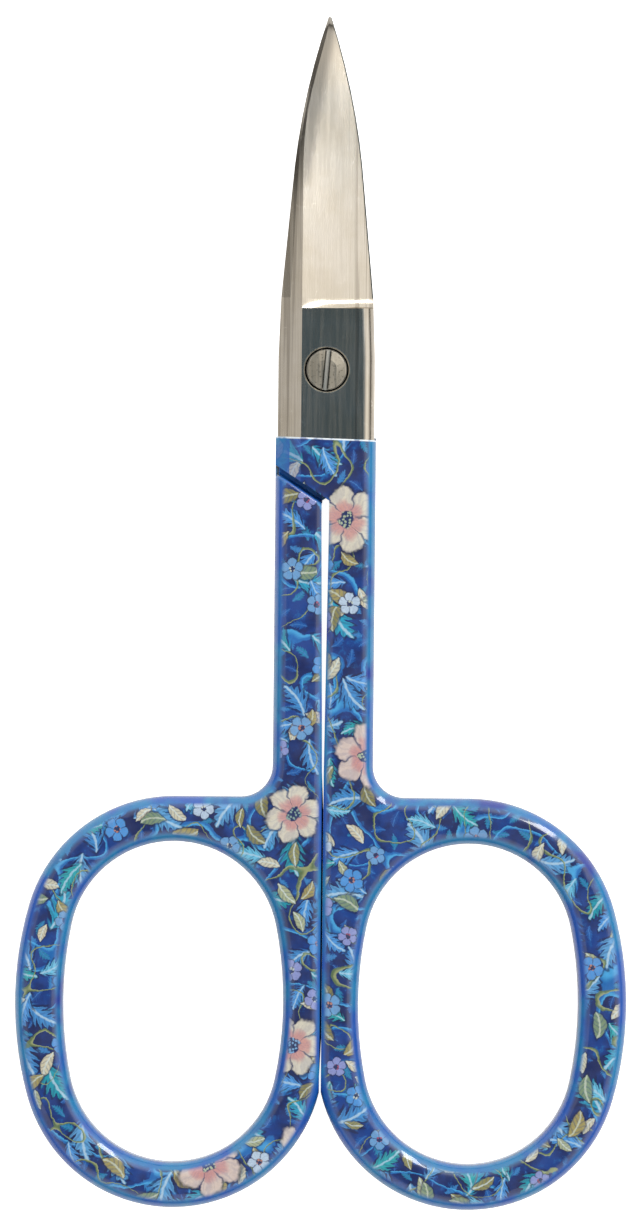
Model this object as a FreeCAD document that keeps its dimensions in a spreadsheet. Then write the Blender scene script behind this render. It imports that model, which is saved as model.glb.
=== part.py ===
import FreeCAD, Part
import Sketcher
import math
import os

# Small thread snips: two forged halves crossed on a slotted pivot screw, each handle skinned
# with a thin printed coat.  Millimetres.  The pivot axis is Z through the origin, the tips
# point to +Y and the screw head faces +Z.  The rear half's flat back face is the plane z = 0.

os.makedirs("parts", exist_ok=True)
doc = FreeCAD.newDocument("thread_snips")

SIZES = [
    ("thickness", 3.6, "handles over the coat, bottom to top"),
    ("coat", 0.15, "printed coat"),
    ("shear_gap", 0.04, "between the two halves at the joint"),
    ("blade_reach", 28.15, "pivot to tip"),
    ("ricasso_y", 4.9, "pivot to the foot of the grind"),
    ("ricasso_narrowing", 0.255, "blade half width at the foot of the grind, less than the joint's"),
    ("tip_half_width", 0.12, "blade half width at the tip"),
    ("blade_slope", 0.092, "narrowing per millimetre over the straight part"),
    ("tip_start_y", 15.5, "pivot to where the outline starts to curve in"),
    ("spine_bevel", 0.36, "narrowest width of the bevelled spine"),
    ("ridge_drop", 0.05, "ridge below the joint face, foot of the grind"),
    ("tip_height", 0.36, "blade thickness at the ridge, tip"),
    ("spine_height", 0.75, "blade thickness at the spine, foot of the grind"),
    ("facet_swell", 0.1, "rise of the spine bevel's middle line at the foot of the grind"),
    ("edge_height", 0.06, "land left at the cutting edge"),
    ("edge_inset", 0.1, "cutting edge inside the other half's spine"),
    ("wheel_radius", 0.84, "hollow at the foot of the grind"),
    ("joint_half_width", 4.0, "joint plate and shank half width over the coat"),
    ("joint_taper_y", 1.0, "pivot to where the joint plate starts to narrow"),
    ("coat_edge_y", 5.45, "pivot to the upper edge of the coat"),
    ("coat_edge_skew", 0.03, "lean of that edge per millimetre"),
    ("lacquer_round", 0.24, "rounding of the coat along the shoulder's edge"),
    ("lip_round", 0.1, "rounding of the coat's upper edge"),
    ("facet_side", 1.1, "outer facet of the plate's free side, width"),
    ("facet_face", 0.9, "inner facet of the plate's free side, width"),
    ("facet_drop", 0.38, "inner facet, drop"),
    ("shoulder_y", 8.2, "pivot to the shoulder wall at the outer edge"),
    ("shoulder_slope", 0.65, "fall of the shoulder per millimetre inwards"),
    ("end_gap", 0.6, "plate end to shoulder wall, along Y"),
    ("slot_half_gap", 0.3, "half gap between the shanks at the top"),
    ("contact_half_gap", 0.07, "half gap between the closed handles"),
    ("slot_top_y", 12.0, "pivot to the top of the tapering slot"),
    ("slot_foot_gap", 2.0, "bows' top to where the slot has closed"),
    ("bow_y", 50.4, "pivot to bow centre"),
    ("hole_half_width", 8.75, "bow opening"),
    ("hole_half_length", 12.78, "bow opening"),
    ("hole_ease", 0.45, "half width less the radius of the opening's ends"),
    ("inner_bar", 3.0, "centre line to the bow opening"),
    ("seam_overlap", 0.25, "handle outline past the centre line before the slot is cut"),
    ("rim_ease", 0.6, "outline's half width less the radius of its ends"),
    ("rim_end", 3.6, "bow bar width at the ends"),
    ("neck_radius", 2.5, "shank to bow"),
    ("edge_round", 1.1, "rounding of the handle edges over the coat"),
    ("screw_radius", 1.0, "screw shank"),
    ("screw_clearance", 0.04, "radial, in the front half"),
    ("thread_clearance", 0.01, "radial, in the rear half"),
    ("head_radius", 1.62, "screw head"),
    ("head_height", 0.8, "screw head at its rim"),
    ("head_dome", 0.1, "rise of the head at its middle"),
    ("head_gap", 0.13, "radial, head to counterbore"),
    ("head_seat_gap", 0.03, "axial, head to counterbore floor"),
    ("bore_bevel", 0.09, "bevel round the counterbore"),
    ("slot_half_width", 0.2, "screwdriver slot"),
    ("slot_depth", 0.45, "screwdriver slot"),
    ("slot_turn", 5.0, "degrees the slot leans from the Y axis"),
]

sheet = doc.addObject("Spreadsheet::Sheet", "sizes")
for row, (name, value, note) in enumerate(SIZES, start=1):
    sheet.set(f"A{row}", name)
    sheet.set(f"B{row}", str(value))
    sheet.set(f"C{row}", note)
    sheet.setAlias(f"B{row}", name)
doc.recompute()

BLADE_STATIONS = 7
SMALL = 1e-7
FLAT = 1e-5

# How far a cutting outline runs past the steel it cuts, and the least steel left over a hollow.
CLEAR = 1
SLIVER = 0.01

# Shape of the blade and of the screw head, as shares of their sizes.
FACET_SHARE = 0.45
RIDGE_FALL = 1.3
DOME_SHARE = 0.75
COAT_SIDE_SHARE = 0.5

# Levels, widths and radii that follow from the sizes.
SHEAR = "(sizes.thickness / 2 + sizes.shear_gap / 2)"
STEEL_TOP = "(sizes.thickness - sizes.coat)"
STEEL_HALF = "(sizes.joint_half_width - sizes.coat)"
GRIND_FOOT = "(sizes.ricasso_y + sizes.wheel_radius)"
RICASSO_HALF = "(sizes.joint_half_width - sizes.ricasso_narrowing)"
BLADE_HALF = f"({RICASSO_HALF} - sizes.blade_slope * sizes.wheel_radius)"
RIDGE_X = "(sizes.joint_half_width - sizes.facet_side - sizes.facet_face)"
RIDGE_HEIGHT = f"({STEEL_TOP} - {SHEAR} - sizes.ridge_drop)"
BOW_X = "(sizes.hole_half_width + sizes.inner_bar)"
HOLE_END_RADIUS = "(sizes.hole_half_width - sizes.hole_ease)"
RIM_END_RADIUS = f"({BOW_X} + sizes.seam_overlap)"
RIM_HALF_WIDTH = f"({RIM_END_RADIUS} + sizes.rim_ease)"
RIM_HALF_LENGTH = "(sizes.hole_half_length + sizes.rim_end)"
SLOT_FOOT = f"({RIM_HALF_LENGTH} + sizes.slot_foot_gap - sizes.bow_y)"


def size(name):
    return getattr(sheet, name)


def feature(body, kind, name, **links):
    item = body.newObject(kind, name)
    for key, value in links.items():
        setattr(item, key, value)
    return item


def plane_sketch(body, name, role, offset="0"):
    """Sketch on one of the body's origin planes; offset is an expression along its normal."""
    sketch = body.newObject("Sketcher::SketchObject", name)
    plane = [item for item in body.Origin.OriginFeatures if item.Role == role][0]
    sketch.AttachmentSupport = [(plane, "")]
    sketch.MapMode = "FlatFace"
    sketch.setExpression(".AttachmentOffset.Base.z", offset)
    return sketch


def bind(sketch, kind, where, expression):
    """Dimension held to the sizes; a dimension that is zero becomes a point on the axis."""
    value = sketch.evalExpression(expression)
    value = getattr(value, "Value", value)
    if kind in ("DistanceX", "DistanceY") and abs(value) < SMALL:
        axis = -2 if kind == "DistanceX" else -1
        sketch.addConstraint(Sketcher.Constraint("PointOnObject", *where[-2:], axis))
        return
    index = sketch.addConstraint(Sketcher.Constraint(kind, *where, value))
    sketch.setExpression(f"Constraints[{index}]", expression)


def place_point(sketch, geometry, point, x, y):
    bind(sketch, "DistanceX", (-1, 1, geometry, point), x)
    bind(sketch, "DistanceY", (-1, 1, geometry, point), y)


def value_of(sketch, expression):
    value = sketch.evalExpression(expression)
    return getattr(value, "Value", value)


def polygon(sketch, corners):
    """Closed polygon whose corners are pairs of expressions."""
    points = [FreeCAD.Vector(value_of(sketch, x), value_of(sketch, y), 0) for x, y in corners]
    count = len(points)
    for i in range(count):
        sketch.addGeometry(Part.LineSegment(points[i], points[(i + 1) % count]), False)
    for i in range(count):
        sketch.addConstraint(Sketcher.Constraint("Coincident", i, 2, (i + 1) % count, 1))
    for i, (x, y) in enumerate(corners):
        place_point(sketch, i, 1, x, y)


def pad(body, sketch, name, length):
    item = feature(body, "PartDesign::Pad", name, Profile=sketch)
    item.setExpression("Length", length)
    return item


def side_radius(half_width, half_length, end_radius):
    """Radius of the long side arcs of a four-arc oval, as an expression."""
    shift = f"(({half_length}) - ({end_radius}))"
    top = f"(({half_width}) ^ 2 + {shift} ^ 2 - ({end_radius}) ^ 2)"
    return f"{top} / (2 * (({half_width}) - ({end_radius})))"


def oval(sketch, half_width, half_length, end_radius):
    """Four-arc oval round the bow centre; all arcs run counter-clockwise."""
    cx = value_of(sketch, BOW_X)
    cy = -size("bow_y")
    end = value_of(sketch, end_radius)
    shift = value_of(sketch, f"({half_length}) - ({end_radius})")
    side_text = side_radius(half_width, half_length, end_radius)
    side = value_of(sketch, side_text)
    reach = side - value_of(sketch, half_width)
    angle = math.atan2(shift, reach)
    axis = FreeCAD.Vector(0, 0, 1)
    arcs = [
        (cx - reach, cy, side, -angle, angle),
        (cx, cy + shift, end, angle, math.pi - angle),
        (cx + reach, cy, side, math.pi - angle, math.pi + angle),
        (cx, cy - shift, end, math.pi + angle, 2 * math.pi - angle),
    ]
    for x, y, radius, start, stop in arcs:
        circle = Part.Circle(FreeCAD.Vector(x, y, 0), axis, radius)
        sketch.addGeometry(Part.ArcOfCircle(circle, start, stop), False)
    for i in range(4):
        sketch.addConstraint(Sketcher.Constraint("Tangent", i, 2, (i + 1) % 4, 1))
    for i, sign in ((1, "+"), (3, "-")):
        height = f"-sizes.bow_y {sign} (({half_length}) - ({end_radius}))"
        place_point(sketch, i, 3, BOW_X, height)
        bind(sketch, "Radius", (i,), end_radius)
    for i in (0, 2):
        bind(sketch, "Radius", (i,), side_text)


def handle_outline(sketch, inset):
    """Shank and bow before the slot is cut, clockwise from the shoulder's outer corner."""
    axis = FreeCAD.Vector(0, 0, 1)
    half = f"sizes.joint_half_width - {inset}"
    end = f"{RIM_END_RADIUS} - {inset}"
    width = f"{RIM_HALF_WIDTH} - {inset}"
    length = f"{RIM_HALF_LENGTH} - {inset}"
    neck = f"sizes.neck_radius + {inset}"
    side_text = side_radius(width, length, end)
    top_text = f"-sizes.bow_y + {length}"
    wall = f"-(sizes.shoulder_y + {inset} * sqrt(1 + sizes.shoulder_slope ^ 2))"
    inner = f"{BOW_X} - ({end})"
    inner_top = f"{wall} - ({half} - ({inner})) * sizes.shoulder_slope"

    cx = value_of(sketch, BOW_X)
    cy = -size("bow_y")
    x_outer = value_of(sketch, half)
    x_inner = value_of(sketch, inner)
    y_top = value_of(sketch, top_text)
    r_neck = value_of(sketch, neck)
    r_end = value_of(sketch, end)
    r_side = value_of(sketch, side_text)
    shift = value_of(sketch, f"({length}) - ({end})")
    reach = r_side - value_of(sketch, width)
    angle = math.atan2(shift, reach)
    shoulder = FreeCAD.Vector(x_outer, value_of(sketch, wall), 0)
    neck_start = FreeCAD.Vector(x_outer, y_top + r_neck, 0)
    neck_end = FreeCAD.Vector(x_outer + r_neck, y_top, 0)
    crown = FreeCAD.Vector(cx, y_top, 0)
    foot = FreeCAD.Vector(x_inner, cy - shift, 0)
    top_inner = FreeCAD.Vector(x_inner, value_of(sketch, inner_top), 0)
    centre = FreeCAD.Vector(x_outer + r_neck, y_top + r_neck, 0)

    def arc(x, y, radius, start, stop):
        circle = Part.Circle(FreeCAD.Vector(x, y, 0), axis, radius)
        sketch.addGeometry(Part.ArcOfCircle(circle, start, stop), False)

    sketch.addGeometry(Part.LineSegment(shoulder, neck_start), False)
    arc(centre.x, centre.y, r_neck, math.pi, 1.5 * math.pi)
    sketch.addGeometry(Part.LineSegment(neck_end, crown), False)
    arc(cx, cy + shift, r_end, angle, math.pi / 2)
    arc(cx - reach, cy, r_side, -angle, angle)
    arc(cx, cy - shift, r_end, math.pi, 2 * math.pi - angle)
    sketch.addGeometry(Part.LineSegment(foot, top_inner), False)
    sketch.addGeometry(Part.LineSegment(top_inner, shoulder), False)
    joins = [
        ("Tangent", 0, 2, 1, 1),
        ("Tangent", 1, 2, 2, 1),
        ("Tangent", 2, 2, 3, 2),
        ("Tangent", 3, 1, 4, 2),
        ("Tangent", 4, 1, 5, 2),
        ("Tangent", 5, 1, 6, 1),
        ("Coincident", 6, 2, 7, 1),
        ("Coincident", 7, 2, 0, 1),
    ]
    for kind, a, a_end, b, b_end in joins:
        sketch.addConstraint(Sketcher.Constraint(kind, a, a_end, b, b_end))
    sketch.addConstraint(Sketcher.Constraint("Vertical", 0))
    sketch.addConstraint(Sketcher.Constraint("Horizontal", 2))
    place_point(sketch, 0, 1, half, wall)
    bind(sketch, "Radius", (1,), neck)
    place_point(sketch, 3, 3, BOW_X, f"-sizes.bow_y + ({length}) - ({end})")
    bind(sketch, "Radius", (3,), end)
    bind(sketch, "Radius", (4,), side_text)
    bind(sketch, "Radius", (5,), end)
    bind(sketch, "DistanceX", (-1, 1, 5, 3), BOW_X)
    place_point(sketch, 6, 2, inner, inner_top)


def round_edges(body, name, base, radius, wanted):
    """Fillet the edges of base for which wanted(edge) is true."""
    doc.recompute()
    names = []
    for i, edge in enumerate(base.Shape.Edges, start=1):
        if wanted(edge):
            names.append(f"Edge{i}")
    item = feature(body, "PartDesign::Fillet", name, Base=(base, names))
    item.setExpression("Radius", radius)
    doc.recompute()
    return item


def flat_at(edge, level):
    box = edge.BoundBox
    return abs(box.ZMin - level) < FLAT and abs(box.ZMax - level) < FLAT


def handle_body(name, inset, plate_top):
    """Plate, shank and bow of the half whose handle lies at +X, its skin set in by inset."""
    body = doc.addObject("PartDesign::Body", name)
    half = f"(sizes.joint_half_width - {inset})"
    grow = f"{inset} * sqrt(1 + sizes.shoulder_slope ^ 2)"

    plate_plan = plane_sketch(body, f"{name}_plate_plan", "XY_Plane", SHEAR)
    plate_foot = "-sizes.slot_top_y"
    corners = [(f"-{half}", plate_foot), (half, plate_foot)] + plate_top
    polygon(plate_plan, corners)
    plate = pad(body, plate_plan, f"{name}_plate", f"sizes.thickness / 2 - sizes.shear_gap / 2 - {inset}")

    handle_plan = plane_sketch(body, f"{name}_handle_plan", "XY_Plane", inset)
    handle_outline(handle_plan, inset)
    handle = pad(body, handle_plan, f"{name}_handle", f"sizes.thickness - 2 * {inset}")

    hole_plan = plane_sketch(body, f"{name}_hole_plan", "XY_Plane", inset)
    spans = ("sizes.hole_half_width", "sizes.hole_half_length", HOLE_END_RADIUS)
    oval(hole_plan, *[f"{span} + {inset}" for span in spans])
    hole = feature(body, "PartDesign::Pocket", f"{name}_hole", Profile=hole_plan, Type="ThroughAll")
    hole.Reversed = True
    doc.recompute()

    bottom = size("coat") if inset != "0" else 0.0
    top = size("thickness") - bottom
    outer_x = size("joint_half_width") - bottom
    neck_y = value_of(handle_plan, plate_foot)

    def long_edge(edge):
        if not (flat_at(edge, bottom) or flat_at(edge, top)):
            return False
        box = edge.BoundBox
        if box.YMax < neck_y:
            return True
        upright = box.XLength < FLAT
        return upright and (box.XMin > outer_x - FLAT or abs(box.XMin) < outer_x / 2)

    round_edges(body, f"{name}_round", hole, f"sizes.edge_round - {inset}", long_edge)

    slot_plan = plane_sketch(body, f"{name}_slot_plan", "XY_Plane", "0")
    wide = "3 * sizes.joint_half_width"
    drop = "(sizes.shoulder_y - sizes.end_gap)"
    slot_x = f"sizes.slot_half_gap + {inset}"
    meet_x = f"sizes.contact_half_gap + {inset}"
    below = "-2 * sizes.bow_y"
    end_at_slot = f"-({drop} + (sizes.joint_half_width + {slot_x}) * sizes.shoulder_slope) + {grow}"
    end_at_side = f"-({drop} + (sizes.joint_half_width - {wide}) * sizes.shoulder_slope) + {grow}"
    corners = [
        (meet_x, below),
        (meet_x, SLOT_FOOT),
        (slot_x, "-sizes.slot_top_y"),
        (slot_x, end_at_slot),
        (f"-{wide}", end_at_side),
        (f"-{wide}", below),
    ]
    polygon(slot_plan, corners)
    slot = feature(body, "PartDesign::Pocket", f"{name}_slot", Profile=slot_plan, Type="ThroughAll")
    slot.Reversed = True

    facet_plan = plane_sketch(body, f"{name}_facet_plan", "XZ_Plane", "0")
    facet_top = f"(sizes.thickness - {inset})"
    face_x = f"(sizes.facet_side + sizes.facet_face - sizes.joint_half_width)"
    side_x = f"(sizes.facet_side - sizes.joint_half_width + {COAT_SIDE_SHARE} * {inset})"
    side_top = "(sizes.thickness / 2 + sizes.spine_height)"
    corners = [
        (face_x, facet_top),
        (side_x, f"{facet_top} - sizes.facet_drop"),
        (f"-{half}", side_top),
        (f"-{half} - {CLEAR}", side_top),
        (f"-{half} - {CLEAR}", f"{facet_top} + {CLEAR}"),
        (face_x, f"{facet_top} + {CLEAR}"),
    ]
    polygon(facet_plan, corners)
    facets = feature(body, "PartDesign::Pocket", f"{name}_facets", Profile=facet_plan, Type="ThroughAll")
    facets.Midplane = True
    doc.recompute()
    return body


def round_lacquer(body):
    """Soften the coat along the shoulder's edge and along its own upper edge on the plate."""
    bottom, top = 0.0, size("thickness")

    def lies_along(edge, slope):
        if edge.Curve.TypeId != "Part::GeomLine":
            return False
        run = edge.Curve.Direction
        return abs(run.z) < FLAT and abs(run.y - slope * run.x) < FLAT

    def shoulder_edge(edge):
        return flat_at(edge, bottom) and lies_along(edge, size("shoulder_slope"))

    def lip_edge(edge):
        return flat_at(edge, top) and lies_along(edge, -size("coat_edge_skew"))

    round_edges(body, f"{body.Label}_shoulder_round", body.Tip, "sizes.lacquer_round", shoulder_edge)
    round_edges(body, f"{body.Label}_lip_round", body.Tip, "sizes.lip_round", lip_edge)


def blade_numbers(step):
    """Expressions for the blade section at one station of BLADE_STATIONS."""
    span = f"{step} / {BLADE_STATIONS - 1}"
    along = f"({GRIND_FOOT} + (sizes.blade_reach - {GRIND_FOOT}) * {span})"
    run = "(sizes.blade_reach - sizes.ricasso_y)"
    curl = f"({RICASSO_HALF} - sizes.blade_slope * {run} - sizes.tip_half_width)"
    bend = f"(max({along} - sizes.tip_start_y; 0) / (sizes.blade_reach - sizes.tip_start_y)) ^ 2"
    half = f"({RICASSO_HALF} - sizes.blade_slope * ({along} - sizes.ricasso_y) - {curl} * {bend})"
    bevel = f"min(sizes.spine_bevel; {half})"
    ridge = f"max(-{RIDGE_X}; {bevel} - {half})"
    height = f"(sizes.tip_height + ({RIDGE_HEIGHT} - sizes.tip_height) * (1 - {span}) ^ {RIDGE_FALL})"
    spine = f"({height} * sizes.spine_height / {RIDGE_HEIGHT})"
    swell = f"sizes.facet_swell * (1 - {span}) ^ 2"
    rest = 1 - FACET_SHARE
    facet_x = f"({FACET_SHARE} * {ridge} - {rest} * {half})"
    facet_z = f"({FACET_SHARE} * {height} + {rest} * {spine} + {swell})"
    edge = f"({half} - sizes.edge_inset * min(1; {half} / sizes.spine_bevel))"
    return along, half, ridge, height, spine, (facet_x, facet_z), edge


def add_blade(body):
    sections = []
    for step in range(BLADE_STATIONS):
        along, half, ridge, height, spine, facet, edge = blade_numbers(step)
        section = plane_sketch(body, f"{body.Label}_blade_{step}", "XZ_Plane", f"-{along}")
        corners = [
            (f"-{half}", SHEAR),
            (edge, SHEAR),
            (edge, f"{SHEAR} + sizes.edge_height"),
            (ridge, f"{SHEAR} + {height}"),
            (facet[0], f"{SHEAR} + {facet[1]}"),
            (f"-{half}", f"{SHEAR} + {spine}"),
        ]
        polygon(section, corners)
        sections.append(section)
    doc.recompute()
    blade = feature(body, "PartDesign::AdditiveLoft", f"{body.Label}_blade", Profile=sections[0])
    blade.Sections = sections[1:]
    doc.recompute()

    along, half, ridge, height, spine, facet, edge = blade_numbers(0)
    slope = f"(({height} - sizes.edge_height) / ({edge} - ({ridge})))"
    ends = []
    for side, across in (("ridge", ridge), ("edge", f"(sizes.joint_half_width + {CLEAR})")):
        floor = f"({SHEAR} + {height} - {slope} * ({across} - ({ridge})))"
        rise = f"min({STEEL_TOP} - {floor} - {SLIVER}; sizes.wheel_radius)"
        profile = plane_sketch(body, f"{body.Label}_hollow_{side}", "YZ_Plane", across)
        start = "sizes.ricasso_y"
        stop = GRIND_FOOT
        over = f"({STEEL_TOP} + {CLEAR})"
        lift = value_of(profile, rise)
        run = size("wheel_radius")
        radius = f"(sizes.wheel_radius ^ 2 + ({rise}) ^ 2) / (2 * ({rise}))"
        r = value_of(profile, radius)
        y0, y1 = value_of(profile, start), value_of(profile, stop)
        z0 = value_of(profile, floor)
        circle = Part.Circle(FreeCAD.Vector(y1, z0 + r, 0), FreeCAD.Vector(0, 0, 1), r)
        begin = math.atan2(lift - r, -run)
        begin = begin + 2 * math.pi if begin < 0 else begin
        profile.addGeometry(Part.ArcOfCircle(circle, begin, 1.5 * math.pi), False)
        points = [(y1, z0), (y1, value_of(profile, over)), (y0, value_of(profile, over)), (y0, z0 + lift)]
        points = [FreeCAD.Vector(y, z, 0) for y, z in points]
        for a, b in zip(points, points[1:]):
            profile.addGeometry(Part.LineSegment(a, b), False)
        for i in range(4):
            profile.addConstraint(Sketcher.Constraint("Coincident", i, 2, (i + 1) % 4, 1))
        place_point(profile, 1, 1, stop, floor)
        place_point(profile, 2, 1, stop, over)
        place_point(profile, 3, 1, start, over)
        bind(profile, "DistanceY", (-1, 1, 3, 2), f"{floor} + {rise}")
        profile.addConstraint(Sketcher.Constraint("Vertical", 3))
        bind(profile, "Radius", (0,), radius)
        ends.append(profile)
    doc.recompute()
    hollow = feature(body, "PartDesign::SubtractiveLoft", f"{body.Label}_hollow", Profile=ends[0])
    hollow.Sections = ends[1:]
    hollow.Ruled = True
    doc.recompute()


def add_bore(body, front):
    """Screw hole: stepped with room for the head in the front half, plain in the rear half."""
    profile = plane_sketch(body, f"{body.Label}_bore_plan", "XZ_Plane")
    if front:
        hole = "(sizes.screw_radius + sizes.screw_clearance)"
        wide = "(sizes.head_radius + sizes.head_gap)"
        seat = f"({STEEL_TOP} - sizes.head_height - sizes.head_seat_gap)"
        corners = [
            ("0", f"{SHEAR} - {CLEAR}"),
            (hole, f"{SHEAR} - {CLEAR}"),
            (hole, seat),
            (wide, seat),
            (wide, f"{STEEL_TOP} - sizes.bore_bevel"),
            (f"{wide} + 2 * sizes.bore_bevel", f"{STEEL_TOP} + sizes.bore_bevel"),
            ("0", f"{STEEL_TOP} + sizes.bore_bevel"),
        ]
    else:
        hole = "(sizes.screw_radius + sizes.thread_clearance)"
        corners = [
            ("0", f"{SHEAR} - {CLEAR}"),
            (hole, f"{SHEAR} - {CLEAR}"),
            (hole, f"{STEEL_TOP} - sizes.bore_bevel"),
            (f"{hole} + 2 * sizes.bore_bevel", f"{STEEL_TOP} + sizes.bore_bevel"),
            ("0", f"{STEEL_TOP} + sizes.bore_bevel"),
        ]
    polygon(profile, corners)
    bore = feature(body, "PartDesign::Groove", f"{body.Label}_bore", Profile=profile)
    bore.ReferenceAxis = (profile, ["V_Axis"])
    bore.Angle = 360
    doc.recompute()


def put_in_place(item, turned):
    """Lower an item built on the coat's underside until the rear half's back face is at z = 0.

    A turned item swings half a turn about the long axis into the rear half's place.
    """
    angle = 180 if turned else 0
    item.Placement = FreeCAD.Placement(FreeCAD.Vector(), FreeCAD.Rotation(FreeCAD.Vector(0, 1, 0), angle))
    height = "sizes.thickness - sizes.coat" if turned else "-sizes.coat"
    item.setExpression(".Placement.Base.z", height)


STEEL_PLATE_TOP = [
    (STEEL_HALF, "sizes.joint_taper_y"),
    (BLADE_HALF, GRIND_FOOT),
    (f"-{BLADE_HALF}", GRIND_FOOT),
    (f"-{STEEL_HALF}", "sizes.joint_taper_y"),
]
COAT_PLATE_TOP = [
    ("sizes.joint_half_width", "-sizes.coat_edge_y - sizes.coat_edge_skew * sizes.joint_half_width"),
    ("-sizes.joint_half_width", "-sizes.coat_edge_y + sizes.coat_edge_skew * sizes.joint_half_width"),
]

nodes = []
for side in ("front", "rear"):
    half = handle_body(f"{side}_half", "sizes.coat", STEEL_PLATE_TOP)
    add_blade(half)
    add_bore(half, side == "front")
    skin = handle_body(f"{side}_skin", "0", COAT_PLATE_TOP)
    round_lacquer(skin)
    core = handle_body(f"{side}_core", "sizes.coat", STEEL_PLATE_TOP)
    coat = doc.addObject("Part::Cut", f"{side}_handle_coat")
    coat.Base = skin
    coat.Tool = core
    for node in (half, coat):
        put_in_place(node, side == "rear")
        nodes.append(node)

screw = doc.addObject("PartDesign::Body", "pivot_screw")
under_head = f"({STEEL_TOP} - sizes.head_height)"
turning = plane_sketch(screw, "screw_section", "XZ_Plane")
end_bevel = "sizes.bore_bevel"
rise = "sizes.head_dome"
corners = [
    ("0", "sizes.coat"),
    (f"sizes.screw_radius - {end_bevel}", "sizes.coat"),
    ("sizes.screw_radius", f"sizes.coat + {end_bevel}"),
    ("sizes.screw_radius", under_head),
    ("sizes.head_radius", under_head),
    ("sizes.head_radius", f"{STEEL_TOP} - {end_bevel}"),
    (f"sizes.head_radius - {end_bevel}", STEEL_TOP),
    ("sizes.head_radius / 2", f"{STEEL_TOP} + {DOME_SHARE} * {rise}"),
    ("0", f"{STEEL_TOP} + {rise}"),
]
polygon(turning, corners)
turned = feature(screw, "PartDesign::Revolution", "screw_turned", Profile=turning)
turned.ReferenceAxis = (turning, ["V_Axis"])
turned.Angle = 360
slot_plan = plane_sketch(screw, "screw_slot_plan", "XY_Plane", f"{STEEL_TOP} - sizes.slot_depth")
slot_plan.AttachmentOffset.Rotation = FreeCAD.Rotation(FreeCAD.Vector(0, 0, 1), -size("slot_turn"))
reach = "2 * sizes.head_radius"
corners = [
    ("-sizes.slot_half_width", f"-{reach}"),
    ("sizes.slot_half_width", f"-{reach}"),
    ("sizes.slot_half_width", reach),
    ("-sizes.slot_half_width", reach),
]
polygon(slot_plan, corners)
slot = feature(screw, "PartDesign::Pocket", "screw_slot", Profile=slot_plan, Type="ThroughAll")
slot.Reversed = True
put_in_place(screw, False)
nodes.append(screw)
doc.recompute()

for item in doc.Objects:
    if "Invalid" in item.State or "Error" in item.State:
        raise RuntimeError(f"{item.Label} did not compute: {item.State}")
for node in nodes:
    if node.Shape.isNull() or not node.Shape.isValid():
        raise RuntimeError(f"{node.Label} has no valid shape")
    node.Shape.exportStep(f"parts/{node.Label}.step")
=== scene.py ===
import math
import bmesh
import bpy
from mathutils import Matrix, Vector


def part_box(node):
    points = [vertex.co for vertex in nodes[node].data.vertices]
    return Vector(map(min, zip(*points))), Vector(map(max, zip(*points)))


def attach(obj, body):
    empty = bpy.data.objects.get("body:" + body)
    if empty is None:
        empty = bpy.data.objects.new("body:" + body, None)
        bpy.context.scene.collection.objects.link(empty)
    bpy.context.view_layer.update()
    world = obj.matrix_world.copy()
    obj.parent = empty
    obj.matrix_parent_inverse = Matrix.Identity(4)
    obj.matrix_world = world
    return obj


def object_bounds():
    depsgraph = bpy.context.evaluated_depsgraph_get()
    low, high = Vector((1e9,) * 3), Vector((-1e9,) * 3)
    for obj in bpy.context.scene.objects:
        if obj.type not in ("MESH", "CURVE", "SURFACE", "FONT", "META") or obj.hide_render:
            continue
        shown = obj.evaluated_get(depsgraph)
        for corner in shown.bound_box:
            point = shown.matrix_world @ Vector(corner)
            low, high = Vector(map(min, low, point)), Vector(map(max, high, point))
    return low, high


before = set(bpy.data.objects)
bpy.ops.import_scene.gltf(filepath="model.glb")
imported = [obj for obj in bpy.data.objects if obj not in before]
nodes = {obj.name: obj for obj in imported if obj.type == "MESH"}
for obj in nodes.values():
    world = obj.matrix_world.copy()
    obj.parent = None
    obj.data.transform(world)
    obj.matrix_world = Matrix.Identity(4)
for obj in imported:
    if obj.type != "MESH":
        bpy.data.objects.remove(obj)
cad_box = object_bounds()

MM = 0.001
low, high = cad_box

# Steel and screw, in millimetres. The head's radius and the tip come from the frame.
TIP_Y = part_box("front_half")[1][1] / MM
HEAD_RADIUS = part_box("pivot_screw")[1][0] / MM
BORE_RADIUS = HEAD_RADIUS + 0.13
SLOT_HALF_WIDTH = 0.2
SLOT_LEAN = math.radians(5.0)
TIP_BAND_LEAN = 0.161
TIP_BAND_START = -0.139 * TIP_Y
BAND_WIDTH = 0.42
FLANK_START = 2.0

# Print. Lengths are in millimetres and the rest are shares or plain numbers.
COAT_EDGE_Y = -5.45
INK_COVER = 0.84
INK_BLEED = 0.3
LACQUER_TINT = (0.7, 0.84, 0.94, 1.0)
OUTLINE = "10163e"
LAYER_TURN = 0.7
LAYER_STRIDE = 13.7
STEM_STRIDE = 29.0
CHANCE_STRETCH = 7.3
PETAL_ROUNDNESS = 0.55
PETAL_SHARE = 0.32
NOTCH_SHARE = 0.66
BEAD_DENSITY = 3.6
TOOTH_RATE = 17.0
TOOTH_SLANT = -0.45
TOOTH_DEPTH = 0.4
STEM_LEVEL = 0.53
WEAVE_SHARE = 0.18

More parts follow.
